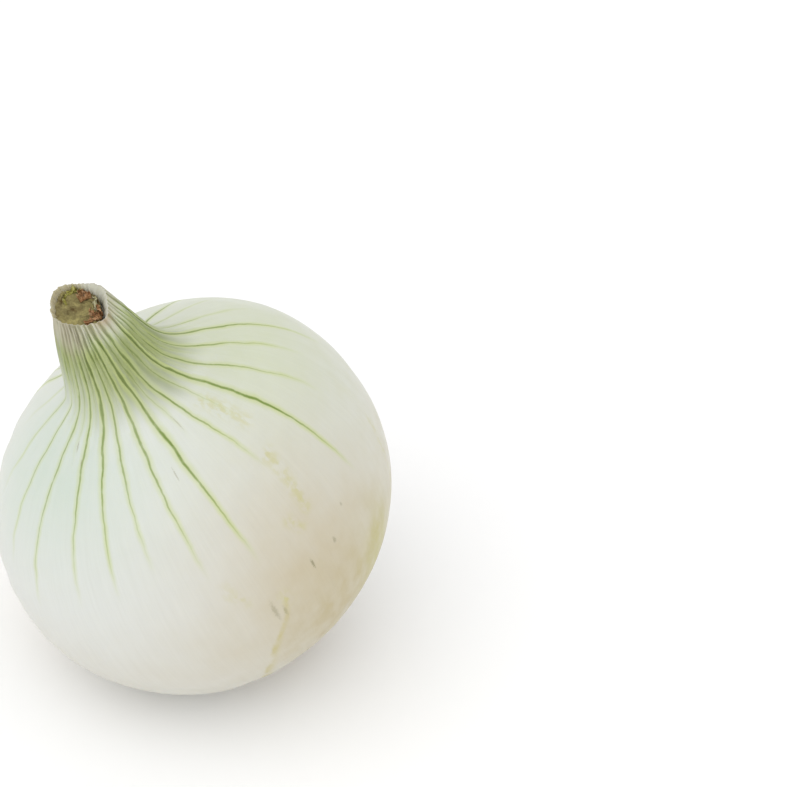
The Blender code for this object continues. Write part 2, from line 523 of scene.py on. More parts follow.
def vein_corners():
    """Side distance, length left and vigour of the nearest vein, per ring band and column."""
    middles = (ring_down[:-1] + ring_down[1:]) / 2
    column_sides = np.degrees(np.linspace(0, 2 * math.pi, COLUMNS + 1)) - FRONT
    face_sides = (column_sides[:-1] + column_sides[1:]) / 2
    radii = np.hypot(rings[..., 0], rings[..., 1])
    bands = []
    for i, middle in enumerate(middles):
        ended = ENDED * (veins[:, 3] + 2 < middle)
        gaps = np.abs(wrapped(face_sides[:, None] - vein_sides(middle)[None, :])) + ended[None, :]
        lane = gaps.argmin(axis=1)
        corners = []
        for ring, step in ((i, 0), (i + 1, 0), (i + 1, 1), (i, 1)):
            at = column_sides[step : COLUMNS + step]
            aside = wrapped(at - vein_sides(ring_down[ring])[lane])
            radius = np.roll(radii[ring], -step)
            offset = np.radians(aside) * radius
            left = veins[lane, 3] - ring_down[ring]
            if ring_down[ring] < 0 or gaps.min() >= ENDED:
                offset = np.full(COLUMNS, FAR_FROM_VEINS)
            corners.append(np.stack([offset, left, veins[lane, 4]], axis=-1))
        bands.append(np.stack(corners, axis=1))
    return np.stack(bands)


vein_values = vein_corners()
print("corner values:", vein_values.shape)

# %% [markdown]
# ## The scale's edge
# Low on the right the outermost scale ends. Its edge runs down towards the root as a crooked
# line, stained yellow, with a dark nick where it starts. The line is a few points, each a
# distance down and an angle from the front, and the skin beyond it is a little darker. A cut in
# the mesh would stand too proud of a scale this thin. Each yellow stroke goes from an angle and
# a distance down to another angle and distance, with a strength.

# %% Edge of the outermost scale
EDGE_POINTS = ((70, 11.0), (74, 9.0), (79, 3.5), (85, -1.5), (92, -6.0), (104, -10.0))
STROKE_MM = 0.7
YELLOW_STROKES = (
    (35, 25, 38, 37, 0.6),
    (33, 44, 31, 58, 0.75),
    (24, 57, 26, 60, 0.7),
    (11, 69, 11.5, 71, 0.9),
    (-1, 60, 1, 64, 0.25),
    (-2, 62, 2, 66, 0.3),
    (75, 64, 70, 82, 0.55),
)


def beside_edge(side, down):
    """Millimetres to the right of the scale's edge, far away above where it starts."""
    marks, sides = zip(*EDGE_POINTS)
    aside = wrapped(side - np.interp(down, marks, sides))
    return np.radians(aside) * np.interp(height_down(down), (-34.2, 0), (8, 40))


def strokes(side, down):
    """Soft yellow strokes: each runs from one angle and distance down to another."""
    total = np.zeros_like(side)
    radius = np.interp(height_down(down), (-34.2, 0, 34), (8, 40, 12))
    for from_side, from_down, to_side, to_down, vigour in YELLOW_STROKES:
        share = np.clip((down - from_down) / (to_down - from_down), 0, 1)
        aside = np.radians(wrapped(side - from_side - share * (to_side - from_side))) * radius
        past = down - np.clip(down, from_down, to_down)
        total += vigour * np.exp(-(aside**2 + past**2) / (2 * STROKE_MM**2))
    return np.clip(total, 0, 1)


print("yellow strokes:", len(YELLOW_STROKES))

# %% [markdown]
# ## Where the skin changes colour
# Soft stains and painted shade cover centimetres, so they are kept at the points of the mesh: green
# where the sheaths were in the light, a mint cast over the left shoulder, a yellow green one over
# the right, cream and tan over the lower right, partly where a drier outer scale lies and partly as
# painted shade, with cream also as painted shade darkening the whole lower part of the bulb, and
# paper at the tip.
# A painted image would need a fixed size, while these formulas stay smooth at any distance.

# %% Stains and painted shade on the skin
def patch(side, down, middle_side, middle_down, half_side, half_down):
    """A soft round patch, for stains and for painted shade: 1 in its middle, 0.6 at its half sizes
    and 0.14 at twice those.
    """
    across = wrapped(side - middle_side) / half_side
    along = (down - middle_down) / half_down
    return np.exp(-(across**2 + along**2) / 2)


def stains_and_shade(side, down, around):
    """Eight masks between 0 and 1, in the order of the tuple at the end. Distances down below 0
    are on the inner wall of the neck."""
    uneven = waves(around, 31, 5, 30, 9)
    neck_green = smooth(down, 0.5, 6.5) * (1 - smooth(down + 1.2 * uneven, 12, 23))
    right_side = smooth(np.cos(np.radians(side - 85)), 0.2, 0.9)
    front_right = smooth(np.cos(np.radians(side - 45)), -0.1, 0.9)
    neck_green *= 1 - 0.45 * (1 - front_right) * smooth(down, 6, 15)
    neck_green += 0.10 * right_side * (1 - smooth(down, 20, 38)) * smooth(down, 12, 20)
    dry_to = 8.6 - 4.2 * front_right
    papery = (1 - smooth(down + 1.1 * uneven, 0.25 * dry_to, dry_to)) * (1 - 0.4 * front_right)
    mint = patch(side, down, -60, 30, 45, 13)
    # Cream: a band of painted shade darkening the lower part of the bulb, and patches of a drier
    # scale's cream, mixed with painted shade on the lower right.
    cream_and_shade = 0.38 * smooth(down, 54, 82) + 0.85 * patch(side, down, 24, 64, 24, 15)
    cream_and_shade += 0.7 * patch(side, down, -150, 70, 30, 16)
    yellow_green = patch(side, down, 78, 32, 34, 17) + 0.6 * patch(side, down, 170, 34, 40, 14)
    # Tan near the root on the lower right: partly a drier scale's colour, partly painted shade.
    # Beyond the scale's edge and inside the neck it is the tissue's own colour.
    tan = 0.75 * patch(side, down, 38, 86, 26, 11)
    tan += 0.35 * patch(side, down, -130, 88, 26, 10)
    tan += 0.45 * smooth(beside_edge(side, down), -0.3, 1.0) * patch(side, down, 22, 86, 20, 9)
    withered = 0.45 * patch(side, down, 30, 0, 15, 0.9) + 0.5 * patch(side, down, 205, 0, 12, 0.7)
    near_root = smooth(down, skin_ends - 16, skin_ends)
    inside = down < 0
    pale_leaf = smooth(np.cos(np.radians(side - CLINGS_AT)), 0.1, 0.7)
    neck_green = np.where(inside, 0.45 - 0.2 * pale_leaf, neck_green)
    papery = np.where(inside, 0.35, papery)
    tan = np.where(inside, 1 - 0.8 * pale_leaf, tan)
    withered = np.where(inside, 0.15 * (1 - pale_leaf), withered)
    masks = (neck_green, papery, mint, cream_and_shade, yellow_green, tan, withered, near_root)
    return [np.clip(mask, 0, 1) for mask in masks]


stain_and_shade_masks = stains_and_shade(ring_side, down_all, ring_around)
print("stain masks:", len(stain_and_shade_masks))

# %% How far each point lies from the scale's edge, and the sallow patch
edge_offset = beside_edge(ring_side, down_all)
edge_here = smooth(down_all, EDGE_POINTS[0][0] - 2, EDGE_POINTS[1][0])
edge_here *= 1 - smooth(down_all, EDGE_POINTS[-1][0] - 8, EDGE_POINTS[-1][0])
sallow_here = 0.9 * patch(ring_side, down_all, 51, 83, 8, 6)
sallow_here += 0.18 * patch(ring_side, down_all, 86, 62, 16, 14)
print("scale edge from", EDGE_POINTS[0][0], "to", EDGE_POINTS[-1][0], "mm down")

# %% [markdown]
# Now the rings become one mesh. A fan closes each end, and all the values computed above are
# written onto it by name, ready for the shader to read.

# %% Helpers for meshes from rings
def ring_faces(count, columns):
    """Quads between rings and a fan of triangles at each end, all facing out."""
    faces = []
    top, bottom = count * columns, count * columns + 1
    for j in range(columns):
        faces.append((top, j, (j + 1) % columns))
    for i in range(count - 1):
        for j in range(columns):
            k = (j + 1) % columns
            a, b = i * columns, (i + 1) * columns
            faces.append((a + j, b + j, b + k, a + k))
    last = (count - 1) * columns
    for j in range(columns):
        faces.append((last + j, bottom, last + (j + 1) % columns))
    return faces


def with_fans(band_values, columns, empty):
    """Per-corner values of the quads, with plain ones before and after for the two fans."""
    fan = np.tile(np.array(empty, float), (columns * 3, 1))
    return np.concatenate([fan, band_values.reshape(-1, len(empty)), fan])


def link_mesh(name, points, faces, material, smooth_shading=True):
    """A mesh object from placed points, in the scene."""
    mesh = bpy.data.meshes.new(name)
    mesh.from_pydata([tuple(p) for p in points], [], faces)
    mesh.materials.append(material)
    if smooth_shading:
        mesh.shade_smooth()
    thing = bpy.data.objects.new(name, mesh)
    bpy.context.scene.collection.objects.link(thing)
    return thing


def store(mesh, name, kind, domain, values):
    """Writes one named value onto the mesh's points or corners."""
    field = {"FLOAT": "value", "FLOAT_VECTOR": "vector", "FLOAT_COLOR": "color"}[kind]
    layer = mesh.attributes.new(name, kind, domain)
    layer.data.foreach_set(field, np.ascontiguousarray(values, np.float32).ravel())


print("faces of a small tube of rings:", len(ring_faces(2, 8)))

# %% Make the skin's mesh
skin_material, skin_shader = new_material("peeled_onion_skin")
root_middle = rings[-1].mean(axis=0)
skin_points = np.concatenate([rings.reshape(-1, 3), [rings[0].mean(axis=0)], [root_middle]])
onion_skin = link_mesh(
    "onion_skin", place(skin_points), ring_faces(ring_count, COLUMNS), skin_material
)
skin_mesh = onion_skin.data
corner_values = with_fans(vein_values, COLUMNS, (FAR_FROM_VEINS, 0.0, 0.0))
store(skin_mesh, "vein_offset", "FLOAT", "CORNER", corner_values[:, 0])
store(skin_mesh, "vein_left", "FLOAT", "CORNER", corner_values[:, 1])
store(skin_mesh, "vein_vigour", "FLOAT", "CORNER", corner_values[:, 2])


def at_points(values):
    """Ring values with the two end points added, taken from the first and last ring."""
    values = np.asarray(values)
    return np.concatenate([values.reshape((-1,) + values.shape[2:]), [values[0, 0], values[-1, 0]]])


grain = np.stack([np.cos(ring_around), np.sin(ring_around), down_all / GIRTH_RADIUS], axis=-1)
store(skin_mesh, "grain", "FLOAT_VECTOR", "POINT", at_points(grain))
# The upper set carries the cream mask and the lower set the tan mask, both partly painted shade of
# the lower side and lower right.
store(skin_mesh, "stains_and_shade_upper", "FLOAT_COLOR", "POINT", at_points(np.stack(stain_and_shade_masks[:4], -1)))
store(skin_mesh, "stains_and_shade_lower", "FLOAT_COLOR", "POINT", at_points(np.stack(stain_and_shade_masks[4:], -1)))
store(skin_mesh, "sallow", "FLOAT", "POINT", at_points(sallow_here))
edge_values = np.stack([edge_offset, edge_here, strokes(ring_side, down_all)], axis=-1)
store(skin_mesh, "scale_edge", "FLOAT_VECTOR", "POINT", at_points(edge_values))
print("skin faces:", len(skin_mesh.polygons))

# %% [markdown]
# ## A map for baked finishes
# The rings and columns already form a map: the column gives one coordinate, and the length
# measured over the surface gives the other. It is kept on the mesh for anyone who wants to
# paint or bake the skin.

# %% Map of the skin
def ring_map(ring_points, columns):
    """Corner coordinates between 0 and 1 for the two fans and the bands between rings."""
    steps = np.linalg.norm(np.diff(ring_points, axis=0), axis=-1).mean(axis=1)
    ends = [np.linalg.norm(ring_points[i] - ring_points[i].mean(0), axis=-1).mean() for i in (0, -1)]
    length = np.concatenate([[0, ends[0]], ends[0] + np.cumsum(steps)])
    v = 1 - length / (length[-1] + ends[1])
    u = np.arange(columns + 1) / columns
    corners = []
    for j in range(columns):
        corners += [((u[j] + u[j + 1]) / 2, v[0]), (u[j], v[1]), (u[j + 1], v[1])]
    for i in range(1, len(v) - 1):
        for j in range(columns):
            corners += [(u[j], v[i]), (u[j], v[i + 1]), (u[j + 1], v[i + 1]), (u[j + 1], v[i])]
    for j in range(columns):
        corners += [(u[j], v[-1]), ((u[j] + u[j + 1]) / 2, 0.0), (u[j + 1], v[-1])]
    return np.array(corners)


skin_map = skin_mesh.uv_layers.new(name="OFBake")
skin_map.data.foreach_set("uv", ring_map(rings, COLUMNS).astype(np.float32).ravel())
print("map corners:", len(skin_map.data))

# %% [markdown]
# ## The skin's finish
# This is living leaf tissue under a thin film of sap, grown and then peeled. To the eye that gives a
# satin white that is never quite even. The colour is built like a glaze painting: a white ground,
# then thin washes of mint, yellow green, cream and tan where the stains and the painted shade were
# stored, then the green neck and the veins, and last the dry tip and the root end. The cream and tan
# washes are partly painted shade, darker and warmer towards the bottom and on the lower right. A
# vein has a pale halo and a darker core that narrows as it runs out. One noise shifts it sideways
# and another wears it thin in places, so no edge is ruled.

# %% Read what was stored on the mesh
skin = skin_material
STORED = ("grain", "stains_and_shade_upper", "stains_and_shade_lower", "sallow", "scale_edge")
STORED += ("vein_offset", "vein_left", "vein_vigour")
stored = {}
for name in STORED:
    stored[name] = add_node(skin, "ShaderNodeAttribute", attribute_name=name).outputs
grain_in = stored["grain"]["Vector"]
upper_split = add_node(skin, "ShaderNodeSeparateColor", {0: stored["stains_and_shade_upper"]["Color"]})
lower_split = add_node(skin, "ShaderNodeSeparateColor", {0: stored["stains_and_shade_lower"]["Color"]})
edge_split = add_node(skin, "ShaderNodeSeparateXYZ", {0: stored["scale_edge"]["Vector"]})
vein_offset = stored["vein_offset"]["Fac"]
vein_left = stored["vein_left"]["Fac"]
vein_vigour = stored["vein_vigour"]["Fac"]
print("values read by the skin:", len(stored))

# %% [markdown]
# Every pattern is as large as the real thing it stands for. The grain counts in units of the
# girth's radius, so that radius over a size gives the scale. The fibres and pores are finer than
# this in a real skin, and are drawn as coarse as they need to be to show.

# %% Noises that run with the fibres
GRAIN_MM = {
    "streak": (0.95, 18.0),
    "fine": (0.31, 8.0),
    "blotch": (8.0, 8.0),
    "wiggle": (8.0, 6.2),
    "cloud": (4.0, 5.0),
    "broken": (1.33, 1.8),
    "pore": (0.25, 0.25),
}
noises = {}
for name, (across_mm, along_mm) in GRAIN_MM.items():
    across_scale, along_scale = GIRTH_RADIUS / across_mm, GIRTH_RADIUS / along_mm
    scales = {0: grain_in, 1: (across_scale, across_scale, along_scale)}
    stretched = add_node(skin, "ShaderNodeVectorMath", scales, operation="MULTIPLY")
    settings = {"Vector": stretched, "Scale": 1.0, "Detail": 3.0, "Roughness": 0.55}
    noises[name] = add_node(skin, "ShaderNodeTexNoise", settings)
print("noises:", list(noises))

# %% [markdown]
# The vein's half width follows its vigour and dwindles over its last 36 mm, and where the veins
# crowd together on the neck they are slimmer. The core and the halo are both smooth steps
# across that width.

# %% How wide a vein is, and how far aside of its line
MATH, RANGE = "ShaderNodeMath", "ShaderNodeMapRange"
SOFT = {"interpolation_type": "SMOOTHSTEP"}
TIMES, TIMES_PLUS = {"operation": "MULTIPLY"}, {"operation": "MULTIPLY_ADD"}
CLAMPED = {"use_clamp": True}
WIGGLE_MM = 1.15
LEAST_HALF_WIDTH, HALF_WIDTH_GAIN = 0.11, 0.27
NECK_SLIMS = 0.45

wiggle = add_node(skin, MATH, {0: noises["wiggle"], 1: WIGGLE_MM, 2: -WIGGLE_MM / 2}, **TIMES_PLUS)
moved = add_node(skin, MATH, {0: vein_offset, 1: wiggle}, operation="ADD")
aside = add_node(skin, MATH, {0: moved}, operation="ABSOLUTE")
taper = add_node(skin, RANGE, {0: vein_left, 1: -0.5, 2: 36.0}, **SOFT)
vigour_left = add_node(skin, MATH, {0: taper, 1: vein_vigour}, **TIMES)
crowded = add_node(skin, MATH, {0: upper_split.outputs[0], 1: -NECK_SLIMS, 2: 1.0}, **TIMES_PLUS)
slimmed = add_node(skin, MATH, {0: vigour_left, 1: crowded}, **TIMES)
widths = {0: slimmed, 1: HALF_WIDTH_GAIN, 2: LEAST_HALF_WIDTH}
half_width = add_node(skin, MATH, widths, **TIMES_PLUS)
print("vein half width at its strongest, mm:", round(LEAST_HALF_WIDTH + HALF_WIDTH_GAIN, 2))

# %% Masks of a vein's core and halo
inner = add_node(skin, MATH, {0: half_width, 1: 0.25}, **TIMES)
outer = add_node(skin, MATH, {0: half_width, 1: 1.25}, **TIMES)
halo_reach = add_node(skin, MATH, {0: half_width, 1: 3.4, 2: 0.5}, **TIMES_PLUS)
core = add_node(skin, RANGE, {0: aside, 1: inner, 2: outer, 3: 1.0, 4: 0.0}, **SOFT)
halo = add_node(skin, RANGE, {0: aside, 1: 0.0, 2: halo_reach, 3: 1.0, 4: 0.0}, **SOFT)
core_left = add_node(skin, RANGE, {0: vein_left, 1: -1.0, 2: 25.0}, **SOFT)
halo_left = add_node(skin, RANGE, {0: vein_left, 1: -2.0, 2: 10.0}, **SOFT)
worn = add_node(skin, MATH, {0: noises["broken"], 1: 1.1, 2: 0.45}, **TIMES_PLUS, **CLAMPED)
vigorous = add_node(skin, MATH, {0: vein_vigour, 1: 0.75, 2: 0.25}, **TIMES_PLUS)
strength = add_node(skin, MATH, {0: vigorous, 1: worn}, **TIMES)
core_mask, halo_mask = core, halo
for share in (core_left, strength):
    core_mask = add_node(skin, MATH, {0: core_mask, 1: share}, **TIMES, **CLAMPED)
for share in (halo_left, strength, 0.9):
    halo_mask = add_node(skin, MATH, {0: halo_mask, 1: share}, **TIMES, **CLAMPED)
print("vein core fades over its last 25 mm")

# %% [markdown]
# The white of an onion is streaked along its fibres, so the ground runs between two whites. Some
# masks are made uneven here: the yellow strokes break up into specks, and the tan, partly a drying
# scale's stain and partly painted shade, into clouds.

# %% White ground and broken masks
GROUND_LIGHT, GROUND_DARK = "#e4e6e2", "#dcddd7"
streaky = add_node(skin, MATH, {0: noises["streak"], 1: 0.8, 2: 0.1}, **TIMES_PLUS, **CLAMPED)
grounds = {0: streaky, 6: linear(GROUND_LIGHT), 7: linear(GROUND_DARK)}
ground = add_node(skin, "ShaderNodeMix", grounds, data_type="RGBA").outputs[2]
clouded = add_node(skin, RANGE, {0: noises["cloud"], 1: 0.25, 2: 0.75}, **SOFT)
papery_core = add_node(skin, MATH, {0: core_mask, 1: upper_split.outputs[1]}, **TIMES)
neck_core = add_node(skin, MATH, {0: core_mask, 1: upper_split.outputs[0]}, **TIMES)
patchy = add_node(skin, RANGE, {0: noises["broken"], 1: 0.38, 2: 0.62}, **SOFT)
broken_stroke = add_node(skin, MATH, {0: edge_split.outputs[2], 1: patchy}, **TIMES)
print("ground from", GROUND_LIGHT, "to", GROUND_DARK)

# %% The yellow line at the scale's edge
EDGE_BEND_MM = 2.6
bends = {0: noises["cloud"], 1: EDGE_BEND_MM, 2: -EDGE_BEND_MM / 2}
edge_bend = add_node(skin, MATH, bends, **TIMES_PLUS)
edge_moved = add_node(skin, MATH, {0: edge_split.outputs[0], 1: edge_bend}, operation="ADD")
edge_aside = add_node(skin, MATH, {0: edge_moved}, operation="ABSOLUTE")
edge_near = add_node(skin, RANGE, {0: edge_aside, 1: 0.15, 2: 1.1, 3: 1.0, 4: 0.0}, **SOFT)
edge_line = edge_near
for share in (edge_split.outputs[1], clouded):
    edge_line = add_node(skin, MATH, {0: edge_line, 1: share}, **TIMES)
print("edge wanders by, mm:", EDGE_BEND_MM / 2)

# %% Dry stains and painted shade that the clouds break up
tan_and_shade_clouds = add_node(skin, MATH, {0: clouded, 1: 0.6, 2: 0.6}, **TIMES_PLUS)
sallow_clouds = add_node(skin, MATH, {0: clouded, 1: 0.9, 2: 0.5}, **TIMES_PLUS)
tan_and_shade_parts = {0: lower_split.outputs[1], 1: tan_and_shade_clouds}
sallow_parts = {0: stored["sallow"]["Fac"], 1: sallow_clouds}
tan_and_shade_mask = add_node(skin, MATH, tan_and_shade_parts, **TIMES, **CLAMPED)
sallow_mask = add_node(skin, MATH, sallow_parts, **TIMES, **CLAMPED)
print("tan and sallow stains broken up by clouds of, mm:", GRAIN_MM["cloud"])

# %% [markdown]
# Each wash has a colour, the mask that says where it lies, and its strength, which a blotchy
# noise varies from place to place. They are laid on in this order, so the lower ones in the
# list cover the upper ones.

# %% Lay the washes on
washes = (
    ("#c8d8c8", upper_split.outputs[2], 0.60),
    ("#c9d3a2", lower_split.outputs[0], 0.48),
    # Cream and tan: partly a drier scale's colour, partly painted shade darkening the lower part and
    # the lower right.
    ("#cdc1a4", stored["stains_and_shade_upper"]["Alpha"], 0.80),
    ("#bfb084", tan_and_shade_mask, 0.75),
    ("#bdb766", sallow_mask, 0.70),
    ("#8c9764", upper_split.outputs[0], 0.95),
    ("#c6d184", halo_mask, 0.80),
    ("#788f3e", core_mask, 0.95),
    ("#5b612f", neck_core, 0.50),
    ("#c9c47c", broken_stroke, 0.70),
    ("#c2b566", edge_line, 0.7),
    ("#b3ac95", upper_split.outputs[1], 0.85),
    ("#756c58", papery_core, 0.62),
    ("#a5714a", lower_split.outputs[2], 0.80),
    ("#b8a57c", stored["stains_and_shade_lower"]["Alpha"], 0.65),
)
wash_uneven = add_node(skin, MATH, {0: noises["blotch"], 1: 0.7, 2: 0.65}, **TIMES_PLUS)
colour = ground
for wash, mask, amount in washes:
    thinned = add_node(skin, MATH, {0: mask, 1: amount}, **TIMES)
    factor = add_node(skin, MATH, {0: thinned, 1: wash_uneven}, **TIMES, **CLAMPED)
    inputs = {0: factor, 6: colour, 7: linear(wash)}
    colour = add_node(skin, "ShaderNodeMix", inputs, data_type="RGBA").outputs[2]
print("washes:", len(washes))

# %% Fine fibres over all of it
FIBRE_CONTRAST, FIBRE_TONE = 0.06, 0.885
fibre_tones = {0: noises["fine"], 1: FIBRE_CONTRAST, 2: FIBRE_TONE - FIBRE_CONTRAST / 2}
fibre = add_node(skin, MATH, fibre_tones, **TIMES_PLUS)
fibres = add_node(skin, "ShaderNodeCombineColor", {0: fibre, 1: fibre, 2: fibre})
layers = {0: 1.0, 6: colour, 7: fibres}
colour = add_node(skin, "ShaderNodeMix", layers, data_type="RGBA", blend_type="MULTIPLY").outputs[2]
print("fibres darken by up to", round(1 - FIBRE_TONE + FIBRE_CONTRAST / 2, 3))

# %% [markdown]
# Soil and small bruises leave a few grey-brown flecks. Each row is an angle, a distance down,
# half the width across and along the fibres in millimetres, and a strength. The finest noise
# makes their edges ragged.

# %% Flecks and nicks
FLECKS = (
    (7, 71, 0.5, 2.6, 0.42),
    (9.5, 72.5, 0.35, 1.4, 0.38),
    (23, 68, 0.3, 1.2, 0.75),
    (32.6, 68, 0.45, 0.8, 0.5),
    (41, 64, 0.35, 0.5, 0.4),
    (-46, 24, 0.5, 1.2, 0.5),
    (-41, 27, 0.35, 0.7, 0.5),
    (3, 35, 0.25, 1.6, 0.4),
    (17, 25, 0.3, 2.4, 0.35),
    (-38, 96, 0.5, 0.7, 0.6),
    (-30, 99, 0.4, 0.6, 0.5),
    (150, 52, 0.4, 0.9, 0.5),
    (-140, 74, 0.4, 0.8, 0.5),
)
for fleck_side, fleck_down, half_across, half_along, depth in FLECKS:
    turned = math.radians(fleck_side + FRONT)
    spot = (math.cos(turned), math.sin(turned), fleck_down / GIRTH_RADIUS)
    flatter = (1.0, 1.0, half_across / half_along)
    spot_at = tuple(a * b for a, b in zip(spot, flatter))
    squashed = add_node(skin, "ShaderNodeVectorMath", {0: grain_in, 1: flatter}, **TIMES)
    gap = {0: squashed, 1: spot_at}
    away = add_node(skin, "ShaderNodeVectorMath", gap, operation="DISTANCE").outputs["Value"]
    reach = half_across / GIRTH_RADIUS
    ragged = add_node(skin, MATH, {0: noises["pore"], 1: 2.2 * reach, 2: -1.1 * reach}, **TIMES_PLUS)
    edge_at = add_node(skin, MATH, {0: away, 1: ragged}, operation="ADD")
    fall = {0: edge_at, 1: 0.3 * reach, 2: 1.3 * reach, 3: depth, 4: 0.0}
    near = add_node(skin, RANGE, fall, **SOFT)
    inputs = {0: near, 6: colour, 7: linear("#8a8465")}
    colour = add_node(skin, "ShaderNodeMix", inputs, data_type="RGBA").outputs[2]
print("flecks:", len(FLECKS))

# %% [markdown]
# The moist skin has a satin gloss that blotches break up, and light sinks a little way in
# before it comes out again. The papery tip is dull. The veins and fibres stand out by a few
# hundredths of a millimetre. Leaf tissue bends light a little less than the shader's usual
# value, which is why the mirror-like part is turned down slightly.

# %% Gloss, relief and depth of the skin
RELIEF_MM = ((core_mask, 0.035), (noises["fine"], 0.016), (noises["streak"], 0.025))
PORES_MM = 0.008
SKIN_SHINE = 0.42
LIGHT_SINKS_MM = 1.5

skin.node_tree.links.new(colour, skin_shader.inputs["Base Color"])
gloss = add_node(skin, MATH, {0: noises["blotch"], 1: 0.14, 2: 0.34}, **TIMES_PLUS)
dullness = {0: upper_split.outputs[1], 1: 0.35, 2: gloss}
dull = add_node(skin, MATH, dullness, **TIMES_PLUS, **CLAMPED)
skin.node_tree.links.new(dull.outputs[0], skin_shader.inputs["Roughness"])
raised = add_node(skin, MATH, {0: noises["pore"], 1: PORES_MM}, **TIMES)
for pattern, depth_mm in RELIEF_MM:
    raised = add_node(skin, MATH, {0: pattern, 1: depth_mm, 2: raised}, **TIMES_PLUS)
bump = add_node(skin, "ShaderNodeBump", {"Height": raised, "Distance": MM, "Strength": 1.0})
skin.node_tree.links.new(bump.outputs["Normal"], skin_shader.inputs["Normal"])
skin_shader.inputs["Subsurface Weight"].default_value = 0.15
skin_shader.inputs["Subsurface Radius"].default_value = (1.0, 0.9, 0.6)
skin_shader.inputs["Subsurface Scale"].default_value = LIGHT_SINKS_MM * MM
skin_shader.inputs["Specular IOR Level"].default_value = SKIN_SHINE
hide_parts("onion")
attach(onion_skin, "root")
print("skin nodes:", len(skin.node_tree.nodes))

# %% [markdown]
# ## The dry heart of the cut neck
# Inside the torn rim sit the shrunken inner leaves: an olive brown, uneven plug with worn ridges
# where one leaf wraps the next. It is a lumpy disc that takes its outline from the ring of skin
# at the same depth, so it fills the cup without a gap, and is narrower on the right to leave
# room for the clinging leaf. Two helpers close and join such shapes, and a third makes the dry
# finishes of this onion: air-dried leaf, cork and root, all dull and mottled, with a bump of the
# same grain. A spiral sweep would make neater ridges than a withered heart has.

# %% Closed solids from rings
def solid_of_rings(ring_points):
    """Points and faces of a closed shape from rings, with a fan at both ends."""
    ring_points = np.asarray(ring_points)
    count, columns = ring_points.shape[:2]
    ends = [ring_points[0].mean(axis=0), ring_points[-1].mean(axis=0)]
    return np.concatenate([ring_points.reshape(-1, 3), ends]), ring_faces(count, columns)


def joined(solids):
    """Several closed shapes as one list of points and one of faces."""
    all_points, all_faces, first = [], [], 0
    for points, faces in solids:
        all_points.append(points)
        all_faces += [tuple(first + i for i in face) for face in faces]
        first += len(points)
    return np.concatenate(all_points), all_faces


print("faces of a closed ring shape:", len(solid_of_rings(np.ones((3, 4, 3)))[1]))

# %% Dry mottled finish
FINER = 3.1
DRY_SHINE = 0.3


def mottled(name, colours, scale_mm, roughness, bump_mm):
    """A dry plant finish: three colours mixed by noise, with a bump of the same grain. The
    larger mottling is as wide as scale_mm, the finer is FINER times smaller."""
    material, shader = new_material(name)
    at = add_node(material, "ShaderNodeTexCoord").outputs["Object"]
    large = {"Vector": at, "Scale": 1 / (scale_mm * MM), "Detail": 5.0, "Roughness": 0.65}
    small = {"Vector": at, "Scale": FINER / (scale_mm * MM), "Detail": 4.0, "Roughness": 0.7}
    broad = add_node(material, "ShaderNodeTexNoise", large).outputs["Fac"]
    fine = add_node(material, "ShaderNodeTexNoise", small).outputs["Fac"]
    ramp = add_node(material, "ShaderNodeValToRGB", {"Fac": broad})
    stops = ramp.color_ramp.elements
    stops[0].position, stops[0].color = 0.36, linear(colours[0])
    stops[1].position, stops[1].color = 0.64, linear(colours[2])
    stops.new(0.5).color = linear(colours[1])
    shade = add_node(material, RANGE, {0: fine, 1: 0.25, 2: 0.75, 3: 0.72, 4: 1.18})
    grey = add_node(material, "ShaderNodeCombineColor", {i: shade for i in range(3)})
    layers = {0: 1.0, 6: ramp, 7: grey}
    mixed = add_node(material, "ShaderNodeMix", layers, data_type="RGBA", blend_type="MULTIPLY")
    material.node_tree.links.new(mixed.outputs[2], shader.inputs["Base Color"])
    both = add_node(material, MATH, {0: broad, 1: fine}, operation="ADD")
    raised = {"Height": both, "Distance": bump_mm * MM, "Strength": 1.0}
    bump = add_node(material, "ShaderNodeBump", raised)
    material.node_tree.links.new(bump.outputs["Normal"], shader.inputs["Normal"])
    shader.inputs["Roughness"].default_value = roughness
    shader.inputs["Specular IOR Level"].default_value = DRY_SHINE
    return material


print("finer mottling is smaller by", FINER)

# %% Plug of shrunken inner leaves
PLUG_DEPTH_ROW = 3
PLUG_SPREAD = 0.93
CLINGING_SHARE = 0.34
PLUG_COLUMNS = 120
LEAF_PITCH, LEAF_RIDGE, CRUMPLE = 1.15, 0.30, 0.26
DISH_MIDDLE, DISH_RISE, PLUG_THICKNESS = -0.9, 0.8, 3.0

plug_edge = outside[PLUG_DEPTH_ROW][:: COLUMNS // PLUG_COLUMNS]
plug_middle = plug_edge.mean(axis=0)
plug_around = column_around[:: COLUMNS // PLUG_COLUMNS]
plug_spread = (1 - CLINGING_SHARE * clinging[:: COLUMNS // PLUG_COLUMNS])[:, None]
plug_rings = []
for share in np.linspace(0.05, PLUG_SPREAD, 20):
    ring = plug_middle + (plug_edge - plug_middle) * share * plug_spread
    turns = share * NECK_TIP_RADIUS / LEAF_PITCH + plug_around / (2 * math.pi)
    ridge = LEAF_RIDGE * np.abs(np.sin(math.pi * turns)) * smooth(share, 0.1, 0.4)
    crumple = CRUMPLE * waves(plug_around + 5 * share, 41, 3, 14, 8) * smooth(share, 0.0, 0.5)
    ring[:, 2] += DISH_MIDDLE + DISH_RISE * share**2 + ridge + crumple
    plug_rings.append(ring)
bottom_ring = plug_middle + (plug_edge - plug_middle) * PLUG_SPREAD * 0.9 * plug_spread
bottom_ring[:, 2] = plug_middle[2] - PLUG_THICKNESS
plug_rings.append(bottom_ring)
plug_points, plug_faces = solid_of_rings(plug_rings)
plug_finish = mottled("withered_heart_leaves", ("#5e4d2a", "#857b50", "#a39963"), 2.8, 0.9, 0.25)
